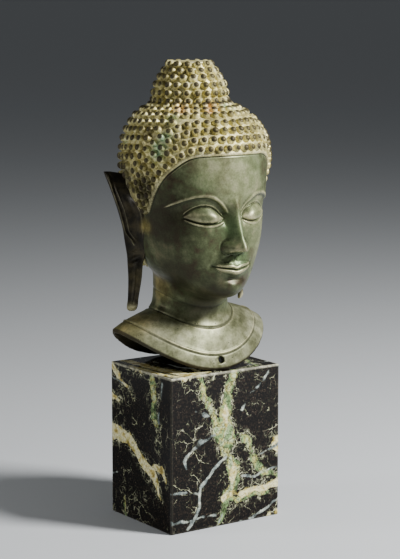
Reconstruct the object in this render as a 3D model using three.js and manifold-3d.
// A cast bronze Buddha head with a curled cap of hair, long-lobed ears and a flared collar,
// standing on a block of veined marble. Millimetres, +Z up. The face looks along -Y and the
// origin is the centre of the block's underside.
import * as THREE from 'three';
import Module from 'manifold-3d';
import { mergeVertices } from 'three/addons/utils/BufferGeometryUtils.js';

// Driving sizes
const PLINTH_WIDTH = 126;
const PLINTH_DEPTH = 104;
const PLINTH_HEIGHT = 150;
const PLINTH_ARRIS = 1.2;
const HEAD_HEIGHT = 290;
const REST_GAP = 0.3;
const COLLAR_WALL = 4.5;
const PIN_HOLE_DIAMETER = 7;
const CURL_PITCH = 8.8;
const CURL_HEIGHT = 5;
const HAIR_STEP = 1.6;
const EAR_THICKNESS = 5;

// The carving is counted in parts: 290 parts from the plane it rests on to the cut crown.
const CANON_PARTS = 290;
const PART = HEAD_HEIGHT / CANON_PARTS;

// The lines of the head, from the crown down. Each ring gives its height at the front, side
// and back, its half width, its front and back, the line where it is widest, and how square
// it is (2 is an ellipse).
const RINGS = [
  // front side back   half  front  back  mid  square
  [290.0, 290.0, 290.0, 0.5, 7.5, 8.5, 8.0, 2.0],
  [290.0, 290.0, 290.0, 17.4, -9.4, 25.4, 8.0, 2.0],
  [287.0, 287.0, 287.0, 18.2, -10.2, 26.2, 8.0, 2.0],
  [280.0, 280.0, 280.0, 22.8, -14.8, 30.8, 8.0, 2.0],
  [271.5, 271.5, 271.5, 28.6, -20.6, 36.6, 8.0, 2.0],
  [262.0, 262.0, 262.0, 32.1, -24.1, 40.1, 8.0, 2.0],
  [254.0, 254.0, 254.0, 32.9, -24.9, 40.9, 8.0, 2.0],
  [249.5, 249.0, 248.5, 34.8, -26.8, 42.8, 8.0, 2.0],
  [246.5, 246.0, 245.0, 40.5, -33.0, 47.5, 7.5, 2.0],
  [242.5, 241.5, 240.0, 48.5, -42.0, 54.0, 6.5, 2.0],
  [236.0, 234.5, 232.0, 56.5, -52.0, 60.0, 4.5, 2.0],
  [226.5, 224.0, 220.0, 63.5, -60.5, 65.0, 2.5, 2.0],
  [215.0, 212.0, 207.0, 67.5, -66.0, 67.5, 1.0, 2.0],
  [202.0, 198.0, 192.0, 68.6, -68.3, 67.8, 0.0, 2.0],
  [187.0, 183.0, 175.0, 67.3, -69.0, 66.0, 0.0, 2.05],
  [170.0, 166.0, 157.0, 65.5, -68.6, 63.0, 0.0, 2.1],
  [153.0, 150.0, 141.0, 63.3, -67.2, 59.0, 0.0, 2.1],
  [136.0, 136.0, 129.0, 61.2, -66.0, 55.0, 0.0, 2.1],
  [120.0, 123.0, 119.0, 58.8, -65.0, 51.5, 0.0, 2.05],
  [104.0, 111.0, 110.0, 55.3, -64.5, 48.8, 1.0, 2.0],
  [90.0, 101.0, 103.0, 50.8, -63.5, 47.0, 2.0, 1.95],
  [79.5, 94.5, 97.0, 46.0, -61.5, 45.8, 3.0, 1.9],
  [72.5, 90.0, 92.0, 41.5, -55.5, 45.0, 4.0, 1.9],
  [69.0, 86.5, 88.0, 38.0, -45.0, 44.5, 5.0, 1.95],
  [66.5, 82.0, 84.0, 36.4, -34.5, 44.2, 6.0, 2.0],
  [61.0, 74.0, 76.0, 35.8, -29.5, 44.0, 8.0, 2.0],
  [53.0, 66.0, 64.0, 36.0, -28.5, 44.5, 8.0, 2.0],
  [45.0, 59.0, 53.0, 37.5, -30.0, 46.0, 8.5, 2.0],
  [38.0, 54.5, 43.0, 43.0, -33.5, 47.5, 10.0, 2.0],
  [28.0, 51.0, 31.0, 54.5, -38.0, 49.0, 12.0, 2.05],
  [16.5, 46.5, 17.5, 67.5, -42.0, 50.0, 14.0, 2.1],
  [3.8, 40.0, 3.8, 80.0, -46.0, 51.0, 15.0, 2.1],
];
const LAST_RING = RINGS.length - 1;
const AXIS_Y = 8;

const clamp = (x, low, high) => Math.min(high, Math.max(low, x));
const bell = (x) => Math.exp(-x * x);
const radians = (degrees) => (degrees * Math.PI) / 180;

/** 0 below a, 1 above b and smooth between them. */
function step(a, b, x) {
  const t = clamp((x - a) / (b - a), 0, 1);
  return t * t * (3 - 2 * t);
}

/** The ring values at a fractional ring number, on a Catmull-Rom curve through the rings. */
function ringAt(v) {
  const at = clamp(v, 0, LAST_RING - 1e-9);
  const i = Math.floor(at);
  const f = at - i;
  const [p0, p1, p2, p3] = [i - 1, i, i + 1, i + 2].map((k) => RINGS[clamp(k, 0, LAST_RING)]);
  return p1.map((b, n) => {
    const [a, c, d] = [p0[n], p2[n], p3[n]];
    return 0.5 * (2 * b + (c - a) * f + (2 * a - 5 * b + 4 * c - d) * f * f
      + (3 * b - a - 3 * c + d) * f * f * f);
  });
}

/** A point of the plain form, in parts. The angle is 0 at the front, and positive towards +X. */
function plainPoint(angle, v) {
  const [zFront, zSide, zBack, half, front, back, mid, square] = ringAt(v);
  const [s, c] = [Math.sin(angle), Math.cos(angle)];
  const k = (Math.abs(s) ** square + Math.abs(c) ** square) ** (-1 / square);
  const depth = c > 0 ? mid - front : back - mid;
  const ends = (zFront + zBack) / 2;
  const z = (ends + zSide) / 2 + ((zFront - zBack) / 2) * c + ((ends - zSide) / 2) * Math.cos(2 * angle);
  return new THREE.Vector3(half * s * k, mid - depth * c * k, z);
}

/** How the unrolled sheet stretches at a place: squared lengths along, mixed, and down. */
function stretchAt(angle, v) {
  const d = 0.02;
  const around = plainPoint(angle + d, v).sub(plainPoint(angle - d, v)).divideScalar(2 * d);
  const low = Math.min(v + d, LAST_RING);
  const down = plainPoint(angle, low).sub(plainPoint(angle, v - d)).divideScalar(low - v + d);
  return [around.dot(around), around.dot(down), down.dot(down)];
}

/** The outward normal of the plain form. */
function plainNormal(angle, v) {
  const d = 1e-3;
  const around = plainPoint(angle + d, v).sub(plainPoint(angle - d, v));
  const down = plainPoint(angle, Math.min(v + d, LAST_RING)).sub(plainPoint(angle, v - d));
  return down.cross(around).normalize();
}

// The face, drawn to the sculptor's canon on the plane of its own width and height.
const BROW_PEAK = 169;
const EYE_LINE = 149.5;
const EYE_SPREAD = 28;
const EYE_HALF_LENGTH = 17.5;
const NOSE_ROOT = 155;
const NOSE_BASE = 119.5;
const NOSE_RISE = (NOSE_ROOT - NOSE_BASE) * 0.48;
const MOUTH_LINE = 100.6;
const MOUTH_HALF_WIDTH = 20.5;
const CHIN_CENTRE = 80.5;

/** Height of the arched brow line. */
function browLine(ax) {
  const bend = ax < 32 ? 0.0255 : 0.0165;
  return BROW_PEAK - bend * (ax - 32) ** 2;
}

/** Lower and upper edges of the lowered eyelid, about the eye's own centre. */
function lidEdges(fromEye) {
  const open = clamp(1 - (fromEye / EYE_HALF_LENGTH) ** 2, 0, 1);
  const root = Math.sqrt(open);
  return { open, lower: -1.2 - 4.4 * open, upper: -1.2 + 10.8 * root * (0.35 + 0.65 * root) };
}

/** Relief of the brow and eye, on one side. */
function eyeRelief(ax, z) {
  const fromEye = ax - EYE_SPREAD;
  const above = z - EYE_LINE;
  let rise = -4.6 * bell((fromEye + 1) / 19) * bell((above - 3) / 13);
  rise -= 3 * bell((ax - 12.5) / 6.5) * bell((z - EYE_LINE - 3.5) / 9);
  const overBrow = z - browLine(ax);
  const browEnds = step(6, 11, ax) * (1 - step(50, 60, ax));
  rise += browEnds * 1.6 * bell(overBrow / (overBrow > 0 ? 2.8 : 1.2));
  rise -= browEnds * 1.5 * step(0.2, 2.2, -overBrow) * (1 - step(9, 20, -overBrow));
  const { open, lower, upper } = lidEdges(fromEye);
  const tilted = above - 0.07 * fromEye;
  if (open > 0) {
    const across = clamp((tilted - lower) / Math.max(upper - lower, 1e-3), 0, 1);
    rise += 4.4 * open ** 0.7 * Math.sin(Math.PI * across ** 0.8) ** 0.75;
    rise += 1.5 * Math.sqrt(open) * step(-0.4, 0.4, tilted - lower) * (1 - step(0.5, 1, across));
    const taper = step(0, 0.1, open);
    rise -= taper * 0.9 * bell((tilted - upper) / 1.1);
    rise += taper * 0.5 * bell((tilted - upper - 1.9) / 1.3);
    rise -= taper * 1.3 * bell((tilted - lower + 0.9) / 0.9);
    rise += step(0, 0.16, open) * 1.5 * bell((tilted - lower + 2.7 - 0.8 * (1 - open)) / 1.3);
  }
  return rise + 1.6 * bell(fromEye / 15) * bell((tilted - lower + 6) / 5);
}

/** Relief of the nose: its ridge, ball, wings and nostrils. */
function noseRelief(x, z) {
  const ax = Math.abs(x);
  const down = clamp((NOSE_ROOT - z) / (NOSE_ROOT - NOSE_BASE), 0, 1);
  const ridge = 4 + (NOSE_RISE - 4) * down ** 1.15;
  const above = 1 - step(NOSE_ROOT, NOSE_ROOT + 15, z);
  const under = step(NOSE_BASE - 5.8, NOSE_BASE - 0.6, z + 0.02 * x * x);
  let rise = ridge * above * Math.exp(-0.75 * (ax / (4.4 + 2.4 * down)) ** 2.3);
  rise = (rise + 1.8 * bell(x / 6) * bell((z - NOSE_BASE - 3) / 5.5)) * under;
  const wing = Math.hypot((ax - 9) / 4.6, (z - NOSE_BASE - 1.8) / 5.2);
  rise += 5.6 * Math.exp(-(wing ** 2.4)) * step(NOSE_BASE - 5.4, NOSE_BASE - 2, z);
  rise -= 0.9 * bell((wing - 1.3) / 0.25) * step(8, 11, ax);
  return rise - 3.6 * bell((ax - 5) / 2.4) * bell((z - NOSE_BASE + 3.4) / 1.8);
}

/** The line between the lips, and how far each lip reaches above and below it. */
function lipEdges(x) {
  const out = Math.abs(x) / MOUTH_HALF_WIDTH;
  const full = clamp(1 - out * out, 0, 1);
  const seam = MOUTH_LINE + 2.6 * out ** 2.2 - bell(x / 4.5);
  return { full, seam, top: 5.6 * full ** 0.8 - 1.2 * bell(x / 2.6), bottom: 6.6 * full ** 0.75 };
}

/** Relief of the lips, the groove over them and the chin. */
function mouthRelief(x, z) {
  const ax = Math.abs(x);
  const { full, seam, top, bottom } = lipEdges(x);
  let rise = 3 * bell(x / 21) * bell((z - MOUTH_LINE - 1.4) / 13);
  if (full > 0) {
    const up = (z - seam) / Math.max(top, 1e-3);
    const low = (seam - z) / Math.max(bottom, 1e-3);
    const swell = (start, t, height) => height * Math.sin(Math.PI * (start + (1 - start) * t)) ** 0.8;
    if (up >= 0 && up < 1) rise += swell(0.18, up, 2.7) * Math.sqrt(full);
    if (low > 0 && low < 1) rise += swell(0.15, low, 3.3) * Math.sqrt(full);
  }
  rise -= 2.1 * bell((z - seam) / 0.95) * (1 - step(19, 22.5, ax));
  rise += 0.7 * (1 - step(17, 21, ax)) * bell((z - seam - top - 0.3) / 0.9);
  rise -= 1.6 * bell((ax - 22) / 2.4) * bell((z - MOUTH_LINE - 2.8) / 2.8);
  const nearNose = step(NOSE_BASE - 7.5, NOSE_BASE - 4.5, z);
  const groove = step(MOUTH_LINE + 5.4, MOUTH_LINE + 7.4, z) * (1 - nearNose);
  rise -= groove * 1.2 * bell(x / 2);
  rise -= 2.3 * bell(x / 13) * bell((z - CHIN_CENTRE - 9.7) / 3.2);
  return rise + 3.2 * bell(x / 12.5) * bell((z - CHIN_CENTRE) / 7);
}

/** Places on the face, by width and height, where brows, lids, nose and lips have their edges. */
function faceMarks() {
  const marks = [];
  for (let ax = 9; ax <= 57; ax += 4.4) {
    marks.push([ax, browLine(ax)], [ax, browLine(ax) - 2.3]);
  }
  for (let t = -16.8; t <= 17; t += 3.36) {
    const { lower, upper } = lidEdges(t);
    [lower + 0.4, lower - 0.9, lower - 2.7, upper]
      .forEach((edge) => marks.push([EYE_SPREAD + t, EYE_LINE + 0.07 * t + edge]));
  }
  for (let x = 0; x <= MOUTH_HALF_WIDTH; x += 2.8) {
    const { seam, top, bottom } = lipEdges(x);
    [top, top / 2, 1.2, 0, -1.2, -bottom / 2, -bottom].forEach((edge) => marks.push([x, seam + edge]));
  }
  for (let x = 0; x <= 12; x += 3) {
    marks.push([x, NOSE_BASE - 0.6 - 0.02 * x * x], [x, NOSE_BASE - 5.6 - 0.02 * x * x]);
  }
  for (let z = NOSE_BASE + 6; z < NOSE_ROOT; z += 6) marks.push([0, z], [6.4, z]);
  for (let turn = -60; turn <= 90; turn += 30) {
    const [out, up] = [Math.cos(radians(turn)), Math.sin(radians(turn))];
    marks.push([9 + 5.8 * out, NOSE_BASE + 1.8 + 6.4 * up]);
  }
  return marks;
}

/** Where on the unrolled sheet a place of the face lies. */
function faceAt(x, z) {
  const d = 0.01;
  let angle = 0;
  let v = 17;
  for (let i = 0; i < 8; i += 1) {
    const here = plainPoint(angle, v);
    const across = (plainPoint(angle + d, v).x - here.x) / d;
    const down = (plainPoint(angle, v + d).z - here.z) / d;
    angle += (x - here.x) / across;
    v += (z - here.z) / down;
  }
  return { angle, v };
}

/** The whole relief of the face, towards -Y. */
function faceRelief(x, z) {
  const ax = Math.abs(x);
  const cheek = 2 * bell((ax - 37) / 15) * bell((z - 125) / 17);
  return eyeRelief(ax, z) + noseRelief(x, z) + mouthRelief(x, z) + cheek;
}

// Where the hair stops: degrees round from the front, and the ring number there.
const HAIRLINE = [
  [0, 12.7], [35, 12.7], [42, 12.95], [52, 13.5], [62, 14.1], [70, 15.0], [75, 15.65],
  [80, 16.6], [88, 18.2], [96, 19.8], [105, 21.0], [118, 21.7], [180, 21.9],
];

/** The ring number of the hair's edge at an angle, with the table's corners rounded. */
function hairlineAt(angle) {
  const spread = [-6, -3, 0, 3, 6];
  return spread.reduce((sum, off) => {
    const at = Math.min(Math.abs(Math.abs(angle) * (180 / Math.PI) + off), 180 - 1e-6);
    const i = HAIRLINE.findIndex(([degrees]) => degrees > at) - 1;
    const [[d0, v0], [d1, v1]] = [HAIRLINE[i], HAIRLINE[i + 1]];
    return sum + (v0 + ((v1 - v0) * (at - d0)) / (d1 - d0)) / spread.length;
  }, 0);
}

// Lines worked into the neck and collar: ring number, height and half width of each.
const COLLAR_LINES = [
  [25.3, -0.5, 1.6],
  [27.8, -1.1, 1.5],
  [30.05, 1.0, 1.6],
];

/** A point of the finished bare skin: the plain form with the face and the collar's lines. */
function skinPoint(angle, v) {
  const p = plainPoint(angle, v);
  const front = step(0.05, 0.5, Math.cos(angle)) * step(65, 71, p.z) * (1 - step(190, 202, p.z));
  if (front > 0) p.y -= front * faceRelief(p.x, p.z);
  if (v > 24) {
    const stretch = plainPoint(angle, Math.min(v + 0.5, LAST_RING)).distanceTo(plainPoint(angle, v - 0.5));
    const lift = COLLAR_LINES.reduce((sum, [at, height, half]) => (
      sum + height * bell(((v - at) * stretch) / half)), 0);
    p.addScaledVector(plainNormal(angle, v), lift);
  }
  return p;
}

// New points are moved by a hair's breadth so that none lies exactly on an edge.
const NUDGE = 2e-6;

/** A net of triangles over the unrolled skin, kept well shaped by true lengths. */
class Net {
  constructor() {
    this.points = [];
    this.opposite = new Map();
    this.start = null;
  }

  /** Adds a point at an angle and ring number; lift raises it off the bare skin. */
  addPoint(angle, v, kind, lift = 0) {
    const place = skinPoint(angle, v);
    if (lift !== 0) place.addScaledVector(plainNormal(angle, v), lift);
    return this.points.push({ angle, v, kind, place, stretch: stretchAt(angle, v) }) - 1;
  }

  key(i, j) {
    return i * 65536 + j;
  }

  far(i, j) {
    return this.opposite.get(this.key(i, j));
  }

  addTriangle(i, j, k) {
    this.opposite.set(this.key(i, j), k);
    this.opposite.set(this.key(j, k), i);
    this.opposite.set(this.key(k, i), j);
    this.start = [i, j];
  }

  removeTriangle(i, j, k) {
    this.opposite.delete(this.key(i, j));
    this.opposite.delete(this.key(j, k));
    this.opposite.delete(this.key(k, i));
  }

  /** Twice the area of a triangle on the unrolled sheet, positive when it faces out. */
  turn(a, b, c) {
    return (b.angle - a.angle) * (a.v - c.v) - (a.v - b.v) * (c.angle - a.angle);
  }

  /** The triangle that holds a place on the sheet, walked to from the last one found. */
  locate(at) {
    const { points } = this;
    let corners = [...this.start, this.far(...this.start)];
    let draw = 1;
    for (let tries = 0; tries < points.length * 4; tries += 1) {
      draw = (draw * 16807) % 2147483647;
      let crossed = null;
      for (let e = 0; e < 3 && crossed === null; e += 1) {
        const i = corners[(draw + e) % 3];
        const j = corners[(draw + e + 1) % 3];
        const beyond = this.far(j, i);
        if (beyond !== undefined && this.turn(points[i], points[j], at) < 0) crossed = [j, i, beyond];
      }
      if (crossed === null) {
        this.start = [corners[0], corners[1]];
        return corners;
      }
      corners = crossed;
    }
    return null;
  }

  /** Splits the triangle under a new point in three and mends the edges round it. */
  insert(angle, v, kind, lift = 0) {
    const nudge = NUDGE * (1 + ((this.points.length * 7) % 11));
    const aside = angle + Math.sign(angle) * nudge;
    const [i, j, k] = this.locate({ angle: aside, v: v + nudge });
    const n = this.addPoint(aside, v + nudge, kind, lift);
    this.removeTriangle(i, j, k);
    this.addTriangle(i, j, n);
    this.addTriangle(j, k, n);
    this.addTriangle(k, i, n);
    this.mend(i, j, 0);
    this.mend(j, k, 0);
    this.mend(k, i, 0);
  }

  /** Cosine and sine, both times the sides' lengths, of the angle at a tip. */
  spread(tip, p, q, [along, both, down]) {
    const [x0, y0, x1, y1] = [p.angle - tip.angle, p.v - tip.v, q.angle - tip.angle, q.v - tip.v];
    const dot = along * x0 * x1 + both * (x0 * y1 + x1 * y0) + down * y0 * y1;
    return [dot, Math.sqrt(along * down - both * both) * Math.abs(x0 * y1 - x1 * y0)];
  }

  /** Turns an edge when the two angles facing it add up to more than half a turn. */
  mend(i, j, depth) {
    const k = this.far(i, j);
    const l = this.far(j, i);
    if (k === undefined || l === undefined || depth > 60) return;
    const { points } = this;
    const [a, b, c, d] = [points[i], points[j], points[k], points[l]];
    const metric = [0, 1, 2].map((n) => a.stretch[n] + b.stretch[n] + c.stretch[n] + d.stretch[n]);
    const [cosK, sinK] = this.spread(c, a, b, metric);
    const [cosL, sinL] = this.spread(d, a, b, metric);
    if (sinK * cosL + cosK * sinL > -1e-6) return;
    if (this.turn(d, b, c) <= 1e-9 || this.turn(c, a, d) <= 1e-9) return;
    this.removeTriangle(i, j, k);
    this.removeTriangle(j, i, l);
    this.addTriangle(l, j, k);
    this.addTriangle(k, i, l);
    this.mend(i, l, depth + 1);
    this.mend(l, j, depth + 1);
    this.mend(j, k, depth + 1);
    this.mend(k, i, depth + 1);
  }

  triangles() {
    const list = [];
    this.opposite.forEach((k, key) => {
      const i = Math.floor(key / 65536);
      const j = key % 65536;
      if (i < j && i < k) list.push([i, j, k]);
    });
    return list;
  }
}

const CURL_TIP = 'curl tip';
const HAIR_BED = 'hair bed';
const BARE = 'bare';
const HAIR_BED_LIFT = 0.8;
const ROW_PITCH = 8.3;
const KNOT_ROW_PITCH = 7.4;
const KNOT_FOOT_RING = 7;
const FIRST_ROW = 4.6;
const BAND_WIDTH = 6.5;
const EDGE_ROWS = 4;
const EAR_CLEARANCE = 7.5;
const CLOSEST_SHARE = 0.72;
const EDGE_ROWS_END = radians(116);
const CROWN_POINTS = 24;
const EDGE_POINTS = 48;
const COLLAR_STEP = 10;

/** Ring numbers one row apart, walked down the side of the head from the crown's edge. */
function curlRows() {
  const rows = [];
  let last = plainPoint(Math.PI / 2, 1);
  let left = FIRST_ROW;
  for (let v = 1; v < 22; v += 0.01) {
    const here = plainPoint(Math.PI / 2, v);
    left -= here.distanceTo(last);
    last = here;
    if (left <= 0) {
      rows.push(v);
      left += v < KNOT_FOOT_RING ? KNOT_ROW_PITCH : ROW_PITCH;
    }
  }
  return rows;
}

/** Length once round a ring. */
function girth(v) {
  const ring = Array.from({ length: 73 }, (_, i) => plainPoint((i / 72) * 2 * Math.PI, v));
  return ring.reduce((sum, p, i) => sum + (i ? p.distanceTo(ring[i - 1]) : 0), 0);
}

// The line on the head where each ear is rooted.
const EAR_ROOT = [
  [62, 26.5, 182], [64, 17, 171], [64, 4, 157], [63, -4, 150], [60, -0.6, 129], [54, 7, 109],
].map((p) => new THREE.Vector3(...p));

/** Distance from a point to a chain of points. */
function distanceToChain(p, chain) {
  const nearest = new THREE.Vector3();
  return chain.slice(1).reduce((best, end, i) => {
    new THREE.Line3(chain[i], end).closestPointToPoint(p, true, nearest);
    return Math.min(best, nearest.distanceTo(p));
  }, Infinity);
}

/** The hair's edge on one side, as a chain of points of the plain form. */
function edgeChain() {
  return Array.from({ length: 121 }, (_, i) => {
    const angle = (i / 120) * Math.PI;
    return plainPoint(angle, hairlineAt(angle));
  });
}

/** The ring number above the hair's edge where a place is a given distance from the edge. */
function ringAbove(angle, above, chain) {
  let high = hairlineAt(angle) - 9;
  let low = hairlineAt(angle);
  for (let i = 0; i < 12; i += 1) {
    const middle = (high + low) / 2;
    if (distanceToChain(plainPoint(angle, middle), chain) > above) high = middle;
    else low = middle;
  }
  return (high + low) / 2;
}

/** Places in a row above the hair's edge, a distance apart, from the middle of the brow round. */
function alongHairline(chain, above, apart, first = 0) {
  const places = [];
  let last = plainPoint(0, ringAbove(0, above, chain));
  let left = first;
  for (let i = 0; i <= 600; i += 1) {
    const angle = (i / 600) * Math.PI;
    const v = ringAbove(angle, above, chain);
    const plain = plainPoint(angle, v);
    left -= plain.distanceTo(last);
    last = plain;
    if (left <= 0) {
      places.push({ angle, v, plain });
      left += apart;
    }
  }
  return places;
}

/** Every curl on one side of the head; the seam's own curls stand at half a turn. */
function curlPlaces(rows, chain) {
  const clear = (p) => distanceToChain(p, EAR_ROOT) > EAR_CLEARANCE;
  const apart = (list, p) => list.every((other) => other.plain.distanceTo(p) > CLOSEST_SHARE * CURL_PITCH);
  const places = [];
  for (let row = 0; row < EDGE_ROWS; row += 1) {
    const end = row === 0 ? radians(172) : EDGE_ROWS_END;
    alongHairline(chain, BAND_WIDTH + row * ROW_PITCH, CURL_PITCH, ((row % 2) / 2) * CURL_PITCH)
      .filter(({ angle, plain }) => angle < end && clear(plain) && apart(places, plain))
      .forEach((place) => places.push(place));
  }
  const onEdge = [...places];
  rows.forEach((v, r) => {
    const count = Math.round(girth(v) / CURL_PITCH);
    for (let k = 0; k <= count / 2; k += 1) {
      const angle = Math.PI - ((k + (r % 2) / 2) * 2 * Math.PI) / count;
      if (angle < -1e-9 || k + (r % 2) === 0) continue;
      const plain = plainPoint(angle, v);
      const margin = BAND_WIDTH + (angle < EDGE_ROWS_END ? (EDGE_ROWS - 0.75) * ROW_PITCH : 2);
      const inside = v < hairlineAt(angle) && distanceToChain(plain, chain) > margin;
      if (inside && apart(onEdge, plain) && clear(plain)) places.push({ angle, v, plain });
    }
  });
  return places;
}

/** The skin's net: the hair with its curls, and the face, neck and collar under it. */
function skinNet() {
  const net = new Net();
  const rows = curlRows();
  const seamBottom = hairlineAt(Math.PI);
  const seam = [{ v: 1, kind: BARE, lift: 0 }];
  rows.forEach((v, r) => {
    if (r % 2 || v > seamBottom - 0.6) return;
    const next = rows[r + 2] ?? v + 2 * (v - rows[r - 1]);
    seam.push({ v, kind: CURL_TIP, lift: HAIR_BED_LIFT + CURL_HEIGHT });
    [1 / 3, 2 / 3].map((t) => v + t * (next - v)).filter((at) => at < seamBottom - 0.2)
      .forEach((at) => seam.push({ v: at, kind: HAIR_BED, lift: HAIR_BED_LIFT }));
  });
  seam.push({ v: seamBottom - 0.08, kind: BARE, lift: HAIR_STEP });
  for (let v = seamBottom; v < LAST_RING - 0.4; v += 0.7) seam.push({ v, kind: BARE, lift: 0 });
  seam.push({ v: LAST_RING, kind: BARE, lift: 0 });

  const side = (angle) => seam.map(({ v, kind, lift }) => net.addPoint(angle, v, kind, lift));
  const left = side(-Math.PI);
  const right = side(Math.PI);
  const row = (v, count, ends) => [ends[0], ...Array.from({ length: count - 1 }, (_, i) => (
    net.addPoint(-Math.PI + ((i + 1) / count) * 2 * Math.PI, v, BARE))), ends[1]];
  const top = row(1, CROWN_POINTS, [left[0], right[0]]);
  const bottom = row(LAST_RING, EDGE_POINTS, [left.at(-1), right.at(-1)]);

  // A first rough net between the four edges: strips between the seams, fans at both ends.
  for (let i = 1; i < left.length - 2; i += 1) {
    net.addTriangle(left[i], left[i + 1], right[i]);
    net.addTriangle(left[i + 1], right[i + 1], right[i]);
  }
  const topMiddle = Math.floor(top.length / 2);
  for (let i = 0; i < top.length - 1; i += 1) {
    net.addTriangle(top[i + 1], top[i], i < topMiddle ? left[1] : right[1]);
  }
  net.addTriangle(left[1], right[1], top[topMiddle]);
  const bottomMiddle = Math.floor(bottom.length / 2);
  for (let i = 0; i < bottom.length - 1; i += 1) {
    net.addTriangle(bottom[i], bottom[i + 1], i < bottomMiddle ? left.at(-2) : right.at(-2));
  }
  net.addTriangle(right.at(-2), left.at(-2), bottom[bottomMiddle]);

  const both = (angle, v, kind, lift) => {
    if (angle > radians(178.5)) return;
    net.insert(angle, v, kind, lift);
    if (angle > 0) net.insert(-angle, v, kind, lift);
  };
  const chain = edgeChain();
  alongHairline(chain, 0, 5).forEach(({ angle, v }) => both(angle, v, BARE, 0));
  alongHairline(chain, 0.9, 5).forEach(({ angle, v }) => both(angle, v, BARE, HAIR_STEP));
  curlPlaces(rows, chain).forEach(({ angle, v }) => both(angle, v, CURL_TIP, HAIR_BED_LIFT + CURL_HEIGHT));

  faceMarks().map(([x, z]) => faceAt(x, z)).forEach(({ angle, v }) => both(angle, v, BARE, 0));
  COLLAR_LINES.filter(([, height]) => Math.abs(height) > 0.9).forEach(([at, , half]) => {
    const count = Math.round(girth(at) / COLLAR_STEP);
    for (let k = 0; k < count / 2; k += 1) {
      const angle = (k * 2 * Math.PI) / count;
      const stretch = plainPoint(angle, at + 0.5).distanceTo(plainPoint(angle, at - 0.5));
      [-half / stretch, 0, half / stretch].forEach((off) => both(angle, at + off, BARE, 0));
    }
  });

  // A low point between every three neighbouring curls.
  const beds = net.triangles().filter((t) => t.filter((i) => net.points[i].kind === CURL_TIP).length > 1)
    .map((t) => t.map((i) => net.points[i]))
    .filter((t) => t.every((p, i) => p.place.distanceTo(t[(i + 1) % 3].place) < 2.4 * CURL_PITCH));
  beds.forEach((t) => {
    const angle = (t[0].angle + t[1].angle + t[2].angle) / 3;
    const v = (t[0].v + t[1].v + t[2].v) / 3;
    if (Math.abs(angle) < radians(178.5)) net.insert(angle, v, HAIR_BED, HAIR_BED_LIFT);
  });
  return net;
}

const REFINE_PASSES = 12;
const REFINE_PER_PASS = 45;
const REFINE_APART = 2.2;
const FINEST_ERROR = 0.22;

/** Adds points where the net stands furthest off the true bare skin, always in pairs. */
function refine(net) {
  const candidates = [];
  for (let degrees = 0; degrees < 178; degrees += 1.2) {
    const angle = radians(degrees);
    const topRing = hairlineAt(angle) + 0.12;
    for (let v = topRing; v < LAST_RING - 0.1; v += 0.1) {
      candidates.push({ angle, v, place: skinPoint(angle, v) });
    }
  }
  const normal = new THREE.Vector3();
  for (let pass = 0; pass < REFINE_PASSES; pass += 1) {
    candidates.forEach((c) => {
      c.corners = net.locate(c).map((i) => net.points[i].place);
      const [a, b, d] = c.corners;
      normal.subVectors(b, a).cross(d.clone().sub(a)).normalize();
      c.error = Math.abs(c.place.clone().sub(a).dot(normal));
    });
    candidates.sort((p, q) => q.error - p.error);
    const chosen = [];
    for (const c of candidates) {
      if (chosen.length >= REFINE_PER_PASS || c.error < FINEST_ERROR) break;
      const roomy = chosen.every((other) => other.place.distanceTo(c.place) > 3 * REFINE_APART)
        && c.corners.every((corner) => corner.distanceTo(c.place) > REFINE_APART / 2);
      if (roomy) chosen.push(c);
      else c.error = 0;
    }
    chosen.forEach(({ angle, v }) => {
      net.insert(angle, v, BARE);
      if (angle > 0) net.insert(-angle, v, BARE);
    });
    if (chosen.length === 0) break;
  }
}

const NECK_WALL = 5;
const SKULL_WALL = 9;
const CAVITY_POINTS = 20;
const CAVITY_RINGS = [30, 28.5, 27, 25, 23.6, 21.5, 18.5, 15, 12, 9.2];

/** A growing list of triangles in three dimensions. */
class Shell {
  constructor() {
    this.corners = [];
    this.faces = [];
  }

  add(p) {
    return this.corners.push(p) - 1;
  }

  /** Joins two closed rings of points that run the same way round, by their angles. */
  join(upper, lower) {
    let [i, j] = [0, 0];
    while (i < upper.length || j < lower.length) {
      const nextUpper = (i + 1) / upper.length;
      const nextLower = (j + 1) / lower.length;
      const u = upper[i % upper.length];
      const l = lower[j % lower.length];
      if (j >= lower.length || (i < upper.length && nextUpper < nextLower)) {
        this.faces.push([u, l, upper[(i + 1) % upper.length]]);
        i += 1;
      } else {
        this.faces.push([u, l, lower[(j + 1) % lower.length]]);
        j += 1;
      }
    }
  }

  /** Closes a ring with a fan about a middle point. */
  cap(ring, middle, outwards) {
    ring.forEach((a, i) => {
      const b = ring[(i + 1) % ring.length];
      this.faces.push(outwards ? [a, b, middle] : [b, a, middle]);
    });
  }

  geometry() {
    const geometry = new THREE.BufferGeometry();
    const flat = this.corners.flatMap((p) => [p.x, p.y, p.z]);
    geometry.setAttribute('position', new THREE.Float32BufferAttribute(flat, 3));
    geometry.setIndex(this.faces.flat());
    return geometry;
  }
}

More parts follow.
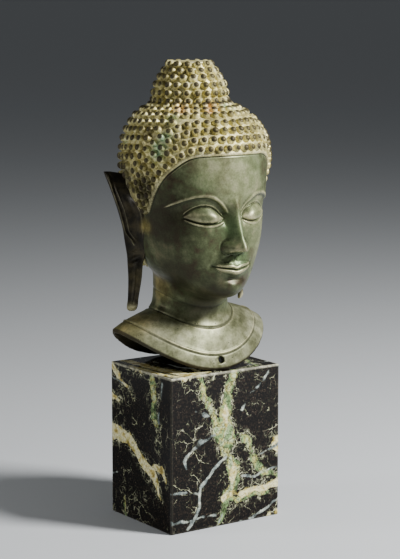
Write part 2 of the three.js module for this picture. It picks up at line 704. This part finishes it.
/** The hollow casting without its ears: skin, collar edge and cavity as one closed shell. */
function castingShell(net) {
  const shell = new Shell();
  net.points.forEach(({ place }) => shell.add(place));
  shell.faces.push(...net.triangles());
  const onRing = (v) => net.points.map((p, i) => ({ ...p, i })).filter((p) => p.v === v)
    .sort((p, q) => p.angle - q.angle).slice(0, -1);

  const crown = onRing(1).map(({ i }) => i);
  shell.cap(crown, shell.add(plainPoint(0, 0).setX(0)), true);

  // The collar's edge: a dark slanting face, then the underside.
  const edge = onRing(LAST_RING);
  const edgeRing = (along, inwards) => edge.map(({ angle, place }) => {
    const fall = plainPoint(angle, LAST_RING).sub(plainPoint(angle, LAST_RING - 0.2)).normalize();
    const out = plainNormal(angle, LAST_RING - 0.1);
    return shell.add(place.clone().addScaledVector(fall, along).addScaledVector(out, -inwards));
  });
  const slanted = edgeRing(0.62 * COLLAR_WALL, 0.5 * COLLAR_WALL);
  const under = edgeRing(0.4 * COLLAR_WALL, COLLAR_WALL);
  shell.join(edge.map(({ i }) => i), slanted);
  shell.join(slanted, under);

  let last = under;
  CAVITY_RINGS.forEach((v) => {
    const wall = v > 24.5 ? NECK_WALL : SKULL_WALL;
    const ring = Array.from({ length: CAVITY_POINTS }, (_, i) => {
      const angle = -Math.PI + (i / CAVITY_POINTS) * 2 * Math.PI;
      return shell.add(plainPoint(angle, v).addScaledVector(plainNormal(angle, v), -wall));
    });
    shell.join(last, ring);
    last = ring;
  });
  const roof = shell.add(new THREE.Vector3(0, AXIS_Y, shell.corners[last[0]].z));
  shell.cap(last, roof, false);
  return shell;
}

// Levels of an ear from the lobe's tip up: height, the inner and outer edge, how full the
// section is, and how far its inner edge is sunk in the head.
const EAR_LEVELS = [
  [55.2, 61.5, 12.5, 65.5, 15.2, 0.55, 0],
  [57, 59.8, 11, 67.3, 16.2, 0.85, 0],
  [61, 59.2, 9.5, 67.4, 16, 1, 0],
  [68, 58.8, 8.8, 66.8, 15.4, 1, 0],
  [86, 56.5, 7, 66.8, 14.5, 1, 0],
  [100, 55.8, 6, 67.3, 14.8, 1, 0],
  [109, 55.5, 5.5, 67.8, 15, 1, 2],
  [122, 58, 2, 69.5, 16, 1, 3],
  [135, 60.5, -2, 70.5, 18, 1, 3],
  [150, 62.5, -4, 72.5, 22.5, 1, 3],
  [162, 64, 6, 74.3, 27, 1, 3],
  [174, 63, 18, 76.5, 32, 1, 3],
  [183, 61, 26, 78, 36.5, 0.9, 3],
  [187, 73, 34.5, 78.6, 38, 0.5, 0],
];

// The ear's section: share of the way out, and height of its front or back surface in halves
// of the plate's thickness. The front has a root ridge, a groove, an inner ridge and the rim.
const EAR_SECTION = [
  [0, 0.6], [0.16, 1.05], [0.32, 0.35], [0.5, 0.95], [0.67, 0.25], [0.86, 1.15], [1, 0.45],
  [0.97, -0.7], [0.55, -0.95], [0.1, -0.85],
];

/** One ear as a closed shell; side is 1 for +X and -1 for -X. */
function earShell(side) {
  const shell = new Shell();
  const rings = EAR_LEVELS.map(([z, innerX, innerY, outerX, outerY, full, sunk]) => {
    const inner = new THREE.Vector2(innerX, innerY);
    const along = new THREE.Vector2(outerX, outerY).sub(inner);
    const length = along.length();
    along.normalize();
    inner.addScaledVector(along, -sunk);
    return EAR_SECTION.map(([share, rise]) => {
      const s = share * (length + sunk);
      const h = rise * full * (EAR_THICKNESS / 2 / PART);
      const [x, y] = [inner.x + along.x * s + along.y * h, inner.y + along.y * s - along.x * h];
      const p = new THREE.Vector3(x, y, z);
      return shell.add(p.setX(p.x * side));
    });
  });
  const middle = (ring) => {
    const sum = ring.reduce((total, i) => total.add(shell.corners[i]), new THREE.Vector3());
    return shell.add(sum.divideScalar(ring.length));
  };
  for (let k = 1; k < rings.length; k += 1) shell.join(rings[k], rings[k - 1]);
  shell.cap(rings[0], middle(rings[0]), false);
  shell.cap(rings.at(-1), middle(rings.at(-1)), true);
  if (side < 0) shell.faces = shell.faces.map(([a, b, c]) => [a, c, b]);
  return shell;
}

const wasm = await Module();
wasm.setup();

/** A closed geometry as a solid that can be joined and cut. */
function solid(geometry) {
  const bare = geometry.clone();
  bare.deleteAttribute('normal');
  bare.deleteAttribute('uv');
  const welded = mergeVertices(bare, 1e-4);
  return new wasm.Manifold(new wasm.Mesh({
    numProp: 3,
    vertProperties: new Float32Array(welded.attributes.position.array),
    triVerts: new Uint32Array(welded.index.array),
  }));
}

/** A joined or cut solid as a geometry again. */
function geometryOf(body) {
  const mesh = body.getMesh();
  const geometry = new THREE.BufferGeometry();
  geometry.setAttribute('position', new THREE.Float32BufferAttribute(mesh.vertProperties, 3));
  geometry.setIndex(new THREE.Uint32BufferAttribute(mesh.triVerts, 1));
  const faceted = geometry.toNonIndexed();
  faceted.computeVertexNormals();
  return faceted;
}

const PIN_HOLE_RING = 30.45;
const PIN_HOLE_REACH = 30;
const PIN_HOLE_SIDES = 16;

/** The drill that leaves the pin hole through the front of the collar. */
function pinDrill() {
  const centre = skinPoint(0, PIN_HOLE_RING);
  const out = plainNormal(0, PIN_HOLE_RING);
  const radius = PIN_HOLE_DIAMETER / 2 / PART;
  const drill = new THREE.CylinderGeometry(radius, radius, PIN_HOLE_REACH, PIN_HOLE_SIDES);
  const turn = new THREE.Quaternion().setFromUnitVectors(new THREE.Vector3(0, 1, 0), out);
  return drill.applyQuaternion(turn).translate(centre.x, centre.y, centre.z);
}

/** The bronze head in place on the block, with a flat bearing under the collar. */
function bronzeHead() {
  const net = skinNet();
  refine(net);
  const raise = (geometry) => geometry.scale(PART, PART, PART).translate(0, 0, PLINTH_HEIGHT);
  let body = solid(raise(castingShell(net).geometry()));
  [1, -1].forEach((side) => {
    body = body.add(solid(raise(earShell(side).geometry())));
  });
  body = body.subtract(solid(raise(pinDrill())));
  const reach = 2 * PLINTH_WIDTH;
  const foot = PLINTH_HEIGHT + REST_GAP;
  const below = new THREE.BoxGeometry(reach, reach, reach).translate(0, 0, foot - reach / 2);
  return geometryOf(body.subtract(solid(below)));
}

/** The block, with a small flat taken off every arris. */
function marblePlinth() {
  const shell = new Shell();
  const half = [PLINTH_WIDTH / 2, PLINTH_DEPTH / 2];
  const outline = (inset, z) => {
    const [x, y] = half.map((h) => h - inset);
    const [cx, cy] = [x - PLINTH_ARRIS + inset, y - PLINTH_ARRIS + inset];
    return [[-cx, -y], [cx, -y], [x, -cy], [x, cy], [cx, y], [-cx, y], [-x, cy], [-x, -cy]]
      .map(([px, py]) => shell.add(new THREE.Vector3(px, py, z)));
  };
  const rings = [
    outline(PLINTH_ARRIS, PLINTH_HEIGHT),
    outline(0, PLINTH_HEIGHT - PLINTH_ARRIS),
    outline(0, PLINTH_ARRIS),
    outline(PLINTH_ARRIS, 0),
  ];
  for (let k = 1; k < rings.length; k += 1) shell.join(rings[k - 1], rings[k]);
  shell.cap(rings[0], shell.add(new THREE.Vector3(0, 0, PLINTH_HEIGHT)), true);
  shell.cap(rings.at(-1), shell.add(new THREE.Vector3(0, 0, 0)), false);
  return geometryOf(solid(shell.geometry()));
}

/** A named piece in its own finish. */
function piece(name, geometry, color, roughness, metalness) {
  const mesh = new THREE.Mesh(geometry, new THREE.MeshStandardMaterial({ color, roughness, metalness }));
  mesh.name = name;
  return mesh;
}

const PATINATED_BRONZE = 0x6b6a4c;
const VEINED_MARBLE = 0x2b2724;

const group = new THREE.Group();
group.name = 'buddha_head_on_plinth';
group.add(piece('bronze_head', bronzeHead(), PATINATED_BRONZE, 0.5, 0.8));
group.add(piece('marble_plinth', marblePlinth(), VEINED_MARBLE, 0.25, 0));

export default group;
